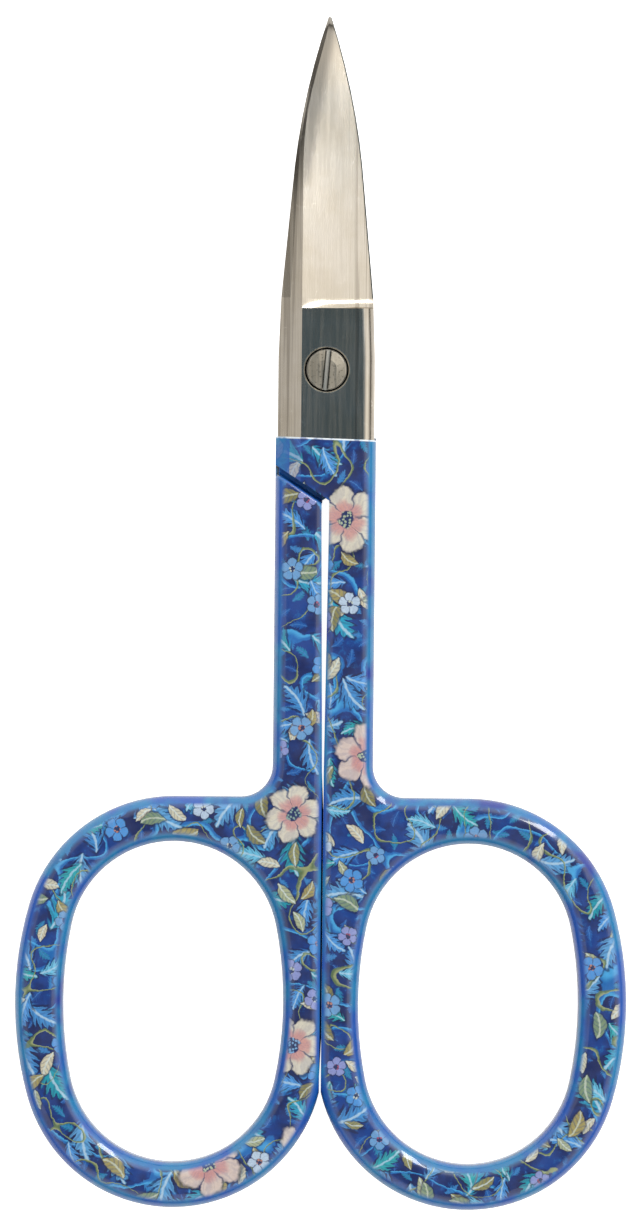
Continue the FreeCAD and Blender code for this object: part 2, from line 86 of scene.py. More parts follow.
# Added lacquer pieces, in metres.
SHEAR_GAP = 0.04 * MM
FILM_INSET = 0.25 * MM
FILM_THICKNESS = 0.015 * MM
PLATE_END_Y = -10.15 * MM
PLATE_END_LEAN = 0.65
GAP_WIDTH = 0.62 * MM
GAP_COLUMNS = 40
GAP_ROWS = 14
COVE_START = 0.55
COVE_HEIGHT = 0.45 * MM
LOW_BOW_SHARE = 0.25
RIDGE_ENDS = 10.5 * MM
RIDGE_HEAD = -26.7 * MM
RIDGE_HALF_HEIGHT = 0.6 * MM
RIDGE_STEPS = 48
RIDGE_TAPER = 8
RIDGE_SECTION = [(-1.0, -1.0), (0.7, -0.55), (0.96, 0.0), (0.7, 0.55), (-1.0, 1.0)]

# Floor and camera, in metres, but the sensor's width, which is in millimetres.
FLOOR_HALF_SIZE = 2.0
LENS_DISTANCE = 0.6
OBJECT_SHARE = 0.975
CAMERA_LEAN = math.radians(0.55)
CAMERA_SHIFT = -0.35 * MM
SENSOR_WIDTH = 36


# ---------------------------------------------------------------- node building

class Board:
    """A node tree, or the inside of a group, with short ways to place nodes on it."""

    def __init__(self, tree):
        self.tree = tree

    def place(self, kind, inputs=None, **settings):
        node = self.tree.nodes.new(kind)
        for name, value in settings.items():
            setattr(node, name, value)
        for key, value in (inputs or {}).items():
            self.feed(node.inputs[key], value)
        return node

    def feed(self, socket, value):
        if isinstance(value, bpy.types.NodeSocket):
            self.tree.links.new(value, socket)
        elif value is not None:
            socket.default_value = value

    def math(self, operation, a, b=None, c=None, clamp=False):
        node = self.place("ShaderNodeMath", {0: a}, operation=operation, use_clamp=clamp)
        if b is not None:
            self.feed(node.inputs[1], b)
        if c is not None:
            self.feed(node.inputs[2], c)
        return node.outputs[0]

    def vector(self, operation, a, b=None, scale=None):
        node = self.place("ShaderNodeVectorMath", {0: a}, operation=operation)
        if b is not None:
            self.feed(node.inputs[1], b)
        if scale is not None:
            self.feed(node.inputs["Scale"], scale)
        return node.outputs["Value" if operation in ("LENGTH", "DOT_PRODUCT", "DISTANCE") else "Vector"]

    def ramp(self, value, low, high, to_low=0.0, to_high=1.0, smooth=True):
        node = self.place("ShaderNodeMapRange", {0: value, 1: low, 2: high, 3: to_low, 4: to_high})
        if smooth:
            node.interpolation_type = "SMOOTHSTEP"
        return node.outputs[0]

    def mix(self, factor, a, b, blend="MIX"):
        node = self.place("ShaderNodeMix", data_type="RGBA", blend_type=blend)
        self.feed(node.inputs[0], factor)
        self.feed(node.inputs[6], a)
        self.feed(node.inputs[7], b)
        return node.outputs[2]

    def stain(self, colour, mask, share, shade):
        """The colour, taken towards a shade by a share where the mask is one."""
        return self.mix(self.math("MULTIPLY", mask, share), colour, rgb(shade))

    def split(self, vector):
        node = self.place("ShaderNodeSeparateXYZ", {0: vector})
        return node.outputs[0], node.outputs[1], node.outputs[2]

    def join(self, x=0.0, y=0.0, z=0.0):
        return self.place("ShaderNodeCombineXYZ", {0: x, 1: y, 2: z}).outputs[0]

    def turn(self, vector, angle):
        inputs = {"Vector": vector, "Angle": angle}
        return self.place("ShaderNodeVectorRotate", inputs, rotation_type="Z_AXIS").outputs[0]

    def plan_radius(self, place):
        """Distance from the pivot's axis."""
        return self.vector("LENGTH", self.vector("MULTIPLY", place, (1.0, 1.0, 0.0)))

    def either(self, a, b):
        return self.math("MAXIMUM", a, b)

    def both(self, a, b):
        return self.math("MULTIPLY", a, b)

    def invert(self, value):
        return self.math("SUBTRACT", 1.0, value)

    def noise(self, vector, scale, detail=2.0, rough=0.5, out="Fac"):
        inputs = {"Vector": vector, "Scale": scale, "Detail": detail, "Roughness": rough}
        return self.place("ShaderNodeTexNoise", inputs).outputs[out]

    def group(self, tree, **inputs):
        node = self.place("ShaderNodeGroup")
        node.node_tree = tree
        for key, value in inputs.items():
            self.feed(node.inputs[key.replace("_", " ")], value)
        return node


KIND_SOCKETS = {"float": "NodeSocketFloat", "vector": "NodeSocketVector", "colour": "NodeSocketColor"}


def new_group(name, inputs, outputs):
    """An empty shader group; inputs and outputs are (name, kind, default) and (name, kind)."""
    tree = bpy.data.node_groups.new(name, "ShaderNodeTree")
    for label, kind, default in inputs:
        socket = tree.interface.new_socket(label, in_out="INPUT", socket_type=KIND_SOCKETS[kind])
        socket.default_value = default
    for label, kind in outputs:
        tree.interface.new_socket(label, in_out="OUTPUT", socket_type=KIND_SOCKETS[kind])
    board = Board(tree)
    source = board.place("NodeGroupInput").outputs
    sink = board.place("NodeGroupOutput").inputs
    return tree, board, source, sink


def new_material(name):
    material = bpy.data.materials.new(name)
    material.use_nodes = True
    material.node_tree.nodes.clear()
    board = Board(material.node_tree)
    shader = board.place("ShaderNodeBsdfPrincipled")
    output = board.place("ShaderNodeOutputMaterial")
    board.feed(output.inputs["Surface"], shader.outputs[0])
    return material, board, shader


def glaze(shader):
    """A clear, hard top coat."""
    shader.inputs["Coat Weight"].default_value = 1.0
    shader.inputs["Coat Roughness"].default_value = 0.06


def add_object(name, data):
    thing = bpy.data.objects.new(name, data)
    bpy.context.scene.collection.objects.link(thing)
    return thing


def millimetres(board):
    """Object position in millimetres."""
    place = board.place("ShaderNodeTexCoord").outputs["Object"]
    return board.vector("SCALE", place, scale=1 / MM)


def rgb(text):
    """Linear colour from a six-digit hex text."""
    values = [int(text[i:i + 2], 16) / 255 for i in (0, 2, 4)]
    return tuple(v / 12.92 if v < 0.04045 else ((v + 0.055) / 1.055) ** 2.4 for v in values) + (1.0,)


# ---------------------------------------------------------------- steel

def brushing_group():
    """Fine parallel grinding lines along Y, with a few longer scratches across them."""
    tree, b, src, out = new_group(
        "brushing",
        [("Position", "vector", (0, 0, 0)), ("Line Width", "float", 0.045), ("Length", "float", 6.0)],
        [("Lines", "float"), ("Broad", "float"), ("Scratches", "float")],
    )
    x, y, z = b.split(src["Position"])
    across = b.math("DIVIDE", x, src["Line Width"])
    along = b.math("DIVIDE", y, src["Length"])
    depth = b.math("MULTIPLY", z, 3.0)
    fine = b.noise(b.join(across, along, depth), 1.0, 3.0, 0.65)
    across_broad = b.math("MULTIPLY", across, 0.22)
    broad = b.noise(b.join(across_broad, along, depth), 1.0, 2.0, 0.5)
    b.feed(out["Lines"], b.ramp(fine, 0.3, 0.7))
    b.feed(out["Broad"], b.ramp(broad, 0.3, 0.7))
    warp = b.noise(src["Position"], 0.6, 2.0, 0.6, out="Color")
    bent = b.vector("ADD", src["Position"], b.vector("SCALE", warp, scale=3.0))
    bx, by, bz = b.split(bent)
    stretched = b.join(bx, b.math("MULTIPLY", by, 0.35), bz)
    hair = b.place("ShaderNodeTexVoronoi", {"Vector": stretched, "Scale": 0.5},
                   feature="DISTANCE_TO_EDGE").outputs[0]
    seldom = b.ramp(b.noise(src["Position"], 0.9, 1.0), 0.55, 0.7)
    b.feed(out["Scratches"], b.math("MULTIPLY", b.ramp(hair, 0.0, 0.012, 1.0, 0.0), seldom))
    return tree


BRUSHING = brushing_group()


def striation_group():
    """Long forging bands along Y that differ in width, strongest out on the flanks."""
    tree, b, src, out = new_group(
        "flank striations",
        [("Position", "vector", (0, 0, 0)), ("Band Width", "float", 0.35), ("Flank", "float", 2.0)],
        [("Mask", "float")],
    )
    x, y, _ = b.split(src["Position"])
    across = b.math("DIVIDE", x, src["Band Width"])
    bands = b.noise(b.join(across, b.math("MULTIPLY", y, 0.035), 0.0), 1.0, 1.0, 0.6)
    outer = b.ramp(b.math("ABSOLUTE", x), src["Flank"], b.math("ADD", src["Flank"], 0.35))
    b.feed(out["Mask"], b.both(b.ramp(bands, 0.48, 0.56), outer))
    return tree


STRIATIONS = striation_group()


def head_specks_and_painted_light(b, place, colour):
    """Specks over the head, dark along both edges of the screwdriver slot, a painted highlight inside the
    slot and a painted highlight round the head's rim.
    """
    across = b.math("ABSOLUTE", b.split(b.turn(place, SLOT_LEAN))[0])
    side = b.ramp(b.math("ABSOLUTE", b.math("SUBTRACT", across, SLOT_HALF_WIDTH)), 0.03, 0.09, 1.0, 0.0)
    inside = b.ramp(across, SLOT_HALF_WIDTH, SLOT_HALF_WIDTH - 0.05, 0.0, 1.0)
    specks = b.ramp(b.noise(place, 4.5, 3.0, 0.7), 0.56, 0.66)
    radius = b.plan_radius(place)
    rim = b.ramp(radius, HEAD_RADIUS - 0.16, HEAD_RADIUS - 0.04)
    colour = b.stain(colour, specks, 0.6, "4a453e")
    # painted highlight: pale inside the screwdriver slot
    colour = b.stain(colour, inside, 0.75, "efe9dd")
    colour = b.stain(colour, side, 0.9, "2a2723")
    # painted highlight: a pale ring near the rim of the head
    return b.stain(colour, rim, 0.6, "e6dfd2")


def bore_painted_shade_and_highlight(b, place, colour):
    """Painted shade, near black, in the ring gap round the screw head, and a painted highlight on the bevel
    outside it.
    """
    radius = b.plan_radius(place)
    gap = b.ramp(radius, BORE_RADIUS - 0.02, BORE_RADIUS + 0.02, 1.0, 0.0)
    bevel_foot = b.ramp(radius, BORE_RADIUS, BORE_RADIUS + 0.04)
    bevel_top = b.ramp(radius, BORE_RADIUS + 0.12, BORE_RADIUS + 0.18, 1.0, 0.0)
    # painted highlight: a pale band on the bevel round the bore
    colour = b.stain(colour, b.both(bevel_foot, bevel_top), 0.6, "f2ece0")
    # painted shade: the ring gap between screw head and bore drawn near black
    return b.mix(gap, colour, rgb("14120f"))


def steel(name, pale, deep, low_rough, high_rough, line_bump, tip_shade=0.0, bands=0.0, dirt_and_painted_light=None):
    """Ground steel: lines along Y, soft blotches and scratches, and if asked for, a dark band by the tip,
    which is painted shade standing in for a dark reflection.
    """
    material, b, shader = new_material(name)
    place = millimetres(b)
    x, y, _ = b.split(place)
    brush = b.group(BRUSHING, Position=place)
    lines = brush.outputs["Lines"]
    broad = brush.outputs["Broad"]
    scratch = brush.outputs["Scratches"]
    blotch = b.ramp(b.noise(place, 0.25, 3.0, 0.6), 0.3, 0.7)
    colour = b.mix(blotch, rgb(pale), rgb(deep))
    colour = b.stain(colour, lines, 0.3, "8f8678")
    colour = b.stain(colour, broad, 0.12, "a89f90")
    if tip_shade:
        # painted shade: a darker band by the tip stands in for a dark reflection on the blade near its tip
        boundary = b.math("MULTIPLY_ADD", y, TIP_BAND_LEAN, TIP_BAND_START)
        inside = b.ramp(b.math("SUBTRACT", x, boundary), -0.5, 0.35, 1.0, 0.0)
        upward = b.ramp(y, 0.42 * TIP_Y, 0.6 * TIP_Y)
        colour = b.stain(colour, b.both(inside, upward), tip_shade, "6d6a66")
    if bands:
        band = b.group(STRIATIONS, Position=place, Band_Width=BAND_WIDTH, Flank=FLANK_START)
        colour = b.stain(colour, band.outputs["Mask"], bands, "5d544a")
    colour = b.stain(colour, scratch, 0.5, "f4efe6")
    # specks, painted shade and painted highlights from the given function
    if dirt_and_painted_light:
        colour = dirt_and_painted_light(b, place, colour)
    b.feed(shader.inputs["Base Color"], colour)
    shader.inputs["Metallic"].default_value = 1.0
    polish = b.ramp(broad, 0.0, 1.0, low_rough, high_rough, smooth=False)
    b.feed(shader.inputs["Roughness"], b.math("ADD", polish, b.math("MULTIPLY", lines, 0.05)))
    height = b.math("SUBTRACT", b.math("MULTIPLY", lines, line_bump), b.math("MULTIPLY", scratch, line_bump))
    bump = b.place("ShaderNodeBump", {"Height": height, "Strength": 0.3, "Distance": 0.003 * MM})
    b.feed(shader.inputs["Normal"], bump.outputs[0])
    return material


# ---------------------------------------------------------------- floral print

def scatter_group():
    """Jittered cells in plan, each with its own middle, turn and three chance values."""
    tree, b, src, out = new_group(
        "print scatter",
        [("Position", "vector", (0, 0, 0)), ("Spacing", "float", 3.0), ("Layer Turn", "float", 0.0),
         ("Layer Shift", "float", 0.0), ("Looseness", "float", 0.5)],
        [("Local", "vector"), ("Tint", "float"), ("Chance", "float"), ("Size", "float")],
    )
    x, y, _ = b.split(src["Position"])
    flat = b.join(b.math("ADD", x, src["Layer Shift"]), b.math("ADD", y, src["Layer Shift"]), 0.0)
    turned = b.turn(flat, src["Layer Turn"])
    cells = b.place("ShaderNodeTexVoronoi", voronoi_dimensions="2D", feature="F1",
                    inputs={"Vector": turned, "Scale": b.math("DIVIDE", 1.0, src["Spacing"]),
                            "Randomness": src["Looseness"]})
    tint, chance, size = b.split(cells.outputs["Color"])
    middle = cells.outputs["Position"]
    jumble = b.math("MULTIPLY", b.math("ADD", tint, size), CHANCE_STRETCH)
    angle = b.math("MULTIPLY", b.math("FRACT", jumble), 2 * math.pi)
    local = b.turn(b.vector("SUBTRACT", turned, middle), angle)
    b.feed(out["Local"], local)
    b.feed(out["Tint"], tint)
    b.feed(out["Chance"], chance)
    b.feed(out["Size"], size)
    return tree


def flower_group():
    """One open flower about the local middle: petals, the creases between them, veins and a centre."""
    tree, b, src, out = new_group(
        "print flower",
        [("Local", "vector", (0, 0, 0)), ("Radius", "float", 1.0), ("Petals", "float", 5.0),
         ("Centre Share", "float", 0.28), ("Wobble", "float", 0.12)],
        [("Mask", "float"), ("Crease", "float"), ("Vein", "float"), ("Centre", "float"), ("Out", "float")],
    )
    near = b.vector("SCALE", src["Local"], scale=b.math("DIVIDE", 1.0, src["Radius"]))
    drift = b.vector("SUBTRACT", b.noise(near, 2.2, 2.0, out="Color"), (0.5, 0.5, 0.5))
    near = b.vector("ADD", near, b.vector("SCALE", drift, scale=b.math("MULTIPLY", src["Wobble"], 2.0)))
    x, y, _ = b.split(near)
    distance = b.vector("LENGTH", b.join(x, y, 0.0))
    angle = b.math("ARCTAN2", y, x)
    half_angle = b.math("MULTIPLY", angle, b.math("MULTIPLY", src["Petals"], 0.5))
    wave = b.math("ABSOLUTE", b.math("COSINE", half_angle))
    reach = b.math("MULTIPLY_ADD", b.math("POWER", wave, PETAL_ROUNDNESS), PETAL_SHARE, NOTCH_SHARE)
    share = b.math("DIVIDE", distance, reach)
    b.feed(out["Mask"], b.ramp(share, 0.87, 1.0, 1.0, 0.0))
    outer = b.ramp(distance, 0.18, 0.4)
    b.feed(out["Crease"], b.both(b.ramp(wave, 0.04, 0.3, 1.0, 0.0), outer))
    spokes = b.join(b.math("MULTIPLY", angle, 5.0), b.math("MULTIPLY", distance, 1.4), 0.0)
    b.feed(out["Vein"], b.ramp(b.noise(spokes, 1.6, 1.0), 0.42, 0.62))
    b.feed(out["Centre"], b.ramp(b.math("DIVIDE", distance, src["Centre Share"]), 0.85, 1.1, 1.0, 0.0))
    b.feed(out["Out"], b.ramp(share, 0.3, 1.0))
    return tree


def leaf_group():
    """One bent leaf along the local Y, smooth or toothed, with a midrib and side veins."""
    tree, b, src, out = new_group(
        "print leaf",
        [("Local", "vector", (0, 0, 0)), ("Half Length", "float", 0.9), ("Half Width", "float", 0.4),
         ("Teeth", "float", 0.0), ("Bend", "float", 0.4)],
        [("Mask", "float"), ("Rib", "float"), ("Vein", "float")],
    )
    x, y, _ = b.split(src["Local"])
    along = b.math("DIVIDE", y, src["Half Length"])
    across = b.math("DIVIDE", x, src["Half Width"])
    square = b.both(along, along)
    across = b.math("ADD", across, b.both(src["Bend"], square))
    side = b.math("ABSOLUTE", across)
    slant = b.math("MULTIPLY_ADD", side, TOOTH_SLANT, along)
    tooth = b.math("SINE", b.math("MULTIPLY", slant, TOOTH_RATE))
    edge = b.both(b.invert(square), b.math("MULTIPLY_ADD", b.both(tooth, src["Teeth"]), TOOTH_DEPTH, 1.0))
    mask = b.ramp(b.math("SUBTRACT", side, edge), -0.16, 0.07, 1.0, 0.0)
    b.feed(out["Mask"], mask)
    b.feed(out["Rib"], b.both(mask, b.ramp(side, 0.06, 0.2, 1.0, 0.0)))
    b.feed(out["Vein"], b.both(mask, b.ramp(tooth, 0.2, 0.9)))
    return tree


def stem_group():
    """Long curling stems: the thin band where a slow drift crosses its middle value."""
    tree, b, src, out = new_group(
        "print stems",
        [("Position", "vector", (0, 0, 0)), ("Sweep", "float", 3.0), ("Width", "float", 0.02),
         ("Layer Shift", "float", 0.0)],
        [("Mask", "float"), ("Lit Side", "float")],
    )
    x, y, _ = b.split(src["Position"])
    flat = b.turn(b.join(b.math("ADD", x, src["Layer Shift"]), y, 1.3), 0.6)
    drift = b.noise(flat, b.math("DIVIDE", 1.0, src["Sweep"]), 0.0, 0.5)
    off = b.math("SUBTRACT", drift, STEM_LEVEL)
    share = b.math("DIVIDE", b.math("ABSOLUTE", off), src["Width"])
    b.feed(out["Mask"], b.ramp(share, 0.75, 1.1, 1.0, 0.0))
    b.feed(out["Lit Side"], b.ramp(b.math("DIVIDE", off, src["Width"]), -0.4, 0.6))
    return tree


def grain_group():
    """Fine dot grain of the transfer print, as a brightness factor near one."""
    tree, b, src, out = new_group(
        "print grain",
        [("Position", "vector", (0, 0, 0)), ("Dot", "float", 0.11), ("Depth", "float", 0.3)],
        [("Factor", "float"), ("Orange Peel", "float")],
    )
    x, y, _ = b.split(src["Position"])
    step = b.math("DIVIDE", 2 * math.pi, src["Dot"])
    weave = b.both(b.math("SINE", b.both(x, step)), b.math("SINE", b.both(y, step)))
    speck = b.noise(src["Position"], 6.0, 2.0, 0.7)
    mixed = b.math("ADD", b.math("MULTIPLY", weave, WEAVE_SHARE), b.math("SUBTRACT", speck, 0.5))
    b.feed(out["Factor"], b.math("MULTIPLY_ADD", mixed, src["Depth"], 1.0))
    b.feed(out["Orange Peel"], b.noise(src["Position"], 0.8, 2.0, 0.5))
    return tree


SCATTER = scatter_group()
FLOWER = flower_group()
LEAF = leaf_group()
STEMS = stem_group()
GRAIN = grain_group()


class Print:
    """A floral ground built up layer on layer; each layer paints over the last."""

    def __init__(self, board, place, shift):
        self.b = board
        ragged = board.noise(place, 2.4, 3.0, 0.65, out="Color")
        ragged = board.vector("SUBTRACT", ragged, (0.5, 0.5, 0.5))
        place = board.vector("ADD", place, board.vector("SCALE", ragged, scale=INK_BLEED))
        self.place = place
        self.shift = shift
        self.layers = 0
        deep = board.mix(board.ramp(board.noise(place, 0.45, 3.0), 0.35, 0.65), rgb("0f1f58"), rgb("123f8a"))
        bright = board.ramp(board.noise(place, 0.9, 4.0, 0.7), 0.56, 0.72)
        self.colour = board.mix(board.math("MULTIPLY", bright, 0.7), deep, rgb("1f74b4"))

    def cells(self, spacing, looseness=0.5):
        """A new layer of cells, turned and shifted against every earlier one."""
        self.layers += 1
        return self.b.group(SCATTER, Position=self.place, Spacing=spacing, Looseness=looseness,
                            Layer_Turn=LAYER_TURN * self.layers,
                            Layer_Shift=self.shift + LAYER_STRIDE * self.layers).outputs

    def paint(self, mask, colour):
        self.colour = self.b.mix(self.b.math("MULTIPLY", mask, INK_COVER), self.colour, colour)

    def choose(self, tint, colours):
        """One of the colours, by a chance value between 0 and 1."""
        chosen = rgb(colours[0])
        for i, colour in enumerate(colours[1:], start=1):
            chosen = self.b.mix(self.b.math("GREATER_THAN", tint, i / len(colours)), chosen, rgb(colour))
        return chosen

    def stems(self, sweep, width, dark, light):
        self.layers += 1
        line = self.b.group(STEMS, Position=self.place, Sweep=sweep, Width=width,
                            Layer_Shift=self.shift + STEM_STRIDE * self.layers).outputs
        self.paint(line["Mask"], self.b.mix(line["Lit Side"], rgb(dark), rgb(light)))

    def leaves(self, spacing, length, width, colours, keep, teeth=0.0, bend=0.4, rib="f4eddb",
               outline=True):
        b = self.b
        cells = self.cells(spacing)
        grow = b.math("MULTIPLY_ADD", cells["Size"], 0.35, 0.8)
        kept = b.math("LESS_THAN", cells["Chance"], keep)
        long_side = b.math("MULTIPLY", grow, length)
        wide_side = b.math("MULTIPLY", grow, width)
        leaf = b.group(LEAF, Local=cells["Local"], Half_Length=long_side, Half_Width=wide_side,
                       Teeth=teeth, Bend=bend).outputs
        if outline:
            shade = b.group(LEAF, Local=cells["Local"], Half_Length=b.math("MULTIPLY", long_side, 1.14),
                            Half_Width=b.math("MULTIPLY", wide_side, 1.28), Teeth=teeth, Bend=bend).outputs
            self.paint(b.both(b.both(shade["Mask"], kept), 0.8), rgb(OUTLINE))
        tone = self.choose(cells["Tint"], colours)
        tone = b.stain(tone, leaf["Vein"], 0.4, "2c4a78")
        tone = b.stain(tone, leaf["Rib"], 0.75, rib)
        self.paint(b.both(leaf["Mask"], kept), tone)

    def flowers(self, spacing, radius, colours, hearts, keep, petals=5.0, centre=0.28, wobble=0.1,
                blush=None):
        b = self.b
        cells = self.cells(spacing, 0.42)
        kept = b.math("LESS_THAN", cells["Chance"], keep)
        spread = b.math("MULTIPLY", b.math("MULTIPLY_ADD", cells["Size"], 0.25, 0.85), radius)
        flower = b.group(FLOWER, Local=cells["Local"], Radius=spread, Petals=petals,
                         Centre_Share=centre, Wobble=wobble).outputs
        shadow = b.group(FLOWER, Local=cells["Local"], Radius=b.math("MULTIPLY", spread, 1.12),
                         Petals=petals, Centre_Share=centre, Wobble=wobble).outputs
        self.paint(b.both(b.both(shadow["Mask"], kept), 0.85), rgb(OUTLINE))
        tone = self.choose(cells["Tint"], colours)
        if blush:
            warm = b.ramp(flower["Out"], 0.0, 0.55, 0.85, 0.0)
            tone = b.mix(warm, tone, rgb(blush))
        tone = b.stain(tone, flower["Vein"], 0.22, "8a7f9c")
        tone = b.stain(tone, flower["Crease"], 0.75, "2a3263")
        dots = b.place("ShaderNodeTexVoronoi", {"Vector": cells["Local"], "Scale": BEAD_DENSITY},
                       voronoi_dimensions="2D")
        beads = b.ramp(dots.outputs["Distance"], 0.25, 0.42, 1.0, 0.0)
        heart = b.mix(beads, rgb("24305e"), self.choose(cells["Size"], hearts))
        tone = b.mix(flower["Centre"], tone, heart)
        self.paint(b.both(flower["Mask"], kept), tone)


def printed_coat(name, shift, lip_lean):
    """Lacquered transfer print in navy, with the plain blue that it thins out to on the rounded rims, and
    painted shade, a dark navy, on the steep side faces.
    """
    material, b, shader = new_material(name)
    place = millimetres(b)
    garden = Print(b, place, shift)
    garden.leaves(1.5, 0.7, 0.26, ["1b62ae", "1f8fb4", "1f4f9a", "3a8cc8"], 0.75, teeth=0.8, rib="4f86c6",
                  outline=False)
    garden.stems(3.4, 0.024, "2272b8", "58b4e6")
    garden.leaves(3.6, 1.7, 0.72, ["2fb0cc", "6fb0e0", "4f9ad8", "22a8b4"], 0.8, teeth=1.0, bend=0.5,
                  rib="dcecf4")
    garden.leaves(3.0, 1.35, 0.5, ["2fb5b5", "7fd0ea", "5aa5e8"], 0.6, teeth=0.9, rib="cfe6f2")
    garden.stems(2.6, 0.014, "6d7a44", "b5b070")
    garden.leaves(2.3, 0.95, 0.4, ["f7dcb4", "ccc492", "ac9a56", "f2dcb8"], 0.34, rib="fbf6e8")
    garden.leaves(2.7, 1.05, 0.5, ["c0a45c", "94a076", "9c8a4a"], 0.3, bend=0.55, rib="efe6c8")
    garden.flowers(3.5, 0.95, ["7fb2e0", "dfe6f2", "5aa5e8", "a9a7dc"], ["c0506a", "e3dccb", "d98a72"], 0.5)
    garden.flowers(9.4, 2.7, ["ffe5c8", "ffe0cc", "ffd8c4"], ["9fb0a0", "8fb6dc", "c9c7a0"], 0.4, petals=6.0,
                   centre=0.24, wobble=0.22, blush="f29a8e")
    grain = b.group(GRAIN, Position=place)
    upright = b.split(b.place("ShaderNodeTexCoord").outputs["Normal"])[2]
    level = b.math("ABSOLUTE", upright)
    rim_drift = b.noise(place, 0.16, 3.0, 0.6)
    rim = b.mix(b.ramp(rim_drift, 0.4, 0.6), rgb("0a55b0"), rgb("0584b4"))
    rim = b.mix(b.ramp(rim_drift, 0.56, 0.72), rim, rgb("0f3596"))
    # painted shade: steep side faces turn dark navy as their normal leans away from upright
    rim = b.mix(b.ramp(level, 0.0, 0.5, 0.75, 0.0), rim, rgb("17204f"))
    colour = b.mix(b.ramp(level, 0.82, 0.995, 1.0, 0.0), garden.colour, rim)
    tinted = b.mix(1.0, colour, LACQUER_TINT, blend="MULTIPLY")
    shaded = b.vector("SCALE", tinted, scale=grain.outputs["Factor"])
    b.feed(shader.inputs["Base Color"], lip_painted_highlight(b, place, lip_lean, shaded))
    b.feed(shader.inputs["Roughness"], b.ramp(grain.outputs["Orange Peel"], 0.3, 0.7, 0.32, 0.46))
    peel = {"Height": grain.outputs["Orange Peel"], "Strength": 0.12, "Distance": 0.03 * MM}
    b.feed(shader.inputs["Normal"], b.place("ShaderNodeBump", peel).outputs[0])
    glaze(shader)
    return material


def lip_painted_highlight(b, place, lean, colour):
    """Painted highlight: a pale line, broken here and there, where the lacquer ends across the steel plate.
    """
    x, y, _ = b.split(place)
    lip = b.math("MULTIPLY_ADD", x, lean, COAT_EDGE_Y)
    near = b.ramp(b.math("SUBTRACT", y, lip), -0.17, -0.08)
    whole = b.ramp(b.noise(place, 1.6, 2.0), 0.36, 0.5, 0.35, 0.95)
    # painted highlight along the edge where the lacquer ends
    return b.mix(b.both(near, whole), colour, rgb("e4edf5"))


def use(node, material):
    """Give a CAD node's material slots a finish without touching its mesh."""
    for slot in nodes[node].material_slots:
        slot.material = material


# ---------------------------------------------------------------- finishes of the CAD pieces

use("front_half", steel("blade steel front", "dcd5ca", "d2c9ba", 0.13, 0.18, 1.0, tip_shade=0.6, bands=0.34,
                        dirt_and_painted_light=bore_painted_shade_and_highlight))
use("rear_half", steel("blade steel rear", "dcd5ca", "d2c9ba", 0.13, 0.18, 1.0, bands=0.34))
use("pivot_screw", steel("screw steel", "c2b9a9", "a89e8d", 0.26, 0.38, 0.3, dirt_and_painted_light=head_specks_and_painted_light))
use("front_handle_coat", printed_coat("print front", 0.0, -0.03))
use("rear_handle_coat", printed_coat("print rear", 41.0, 0.03))


# ---------------------------------------------------------------- lacquer where the handles meet, and painted shade in the gap between them

def contact_painted_shade_ridge():
    """Low ridge of near-black lacquer on the rear handle's inner face, which the closed handles meet on; it
    is painted shade filling the gap between the handles.
    """
    coat_low, coat_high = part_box("front_handle_coat")
    gap = inner_coat_x("front_handle_coat")
    foot = coat_low[1] + RIDGE_ENDS
    head = coat_high[1] + RIDGE_HEAD
    middle = (coat_low[2] + coat_high[2]) / 2
    verts = []
    for i in range(RIDGE_STEPS + 1):
        share = i / RIDGE_STEPS
        swell = min(1.0, RIDGE_TAPER * min(share, 1 - share))
        y = foot + (head - foot) * share
        for across, up in RIDGE_SECTION:
            verts.append((-gap + (across + 1) * gap * swell, y, middle + up * RIDGE_HALF_HEIGHT))
    faces = []
    width = len(RIDGE_SECTION)
    for i in range(RIDGE_STEPS):
        for j in range(width):
            a, c = i * width + j, i * width + (j + 1) % width
            faces.append((a, c, c + width, a + width))
    faces.append(tuple(reversed(range(width))))
    faces.append(tuple(range(RIDGE_STEPS * width, (RIDGE_STEPS + 1) * width)))
    # painted shade: near-black lacquer darkens the gap between the closed handles
    finish_piece("contact_painted_shade_ridge", verts, faces, lacquer("painted shade lacquer", "0c1434", "142254"))


def inner_coat_x(node):
    """Least X of a handle's coat low on its bow, which is half the gap between the closed handles."""
    coat_low, coat_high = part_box(node)
    limit = coat_low[1] + LOW_BOW_SHARE * (coat_high[1] - coat_low[1])
    return min(v.co.x for v in nodes[node].data.vertices if v.co.y < limit)


def lacquer(name, deep, bright):
    """Plain pooled lacquer with no print in it, a little uneven in depth of colour."""
    material, b, shader = new_material(name)
    grain = b.group(GRAIN, Position=millimetres(b))
    drift = b.ramp(grain.outputs["Orange Peel"], 0.35, 0.65)
    b.feed(shader.inputs["Base Color"], b.mix(drift, rgb(deep), rgb(bright)))
    b.feed(shader.inputs["Roughness"], b.ramp(drift, 0.0, 1.0, 0.3, 0.45))
    glaze(shader)
    return material


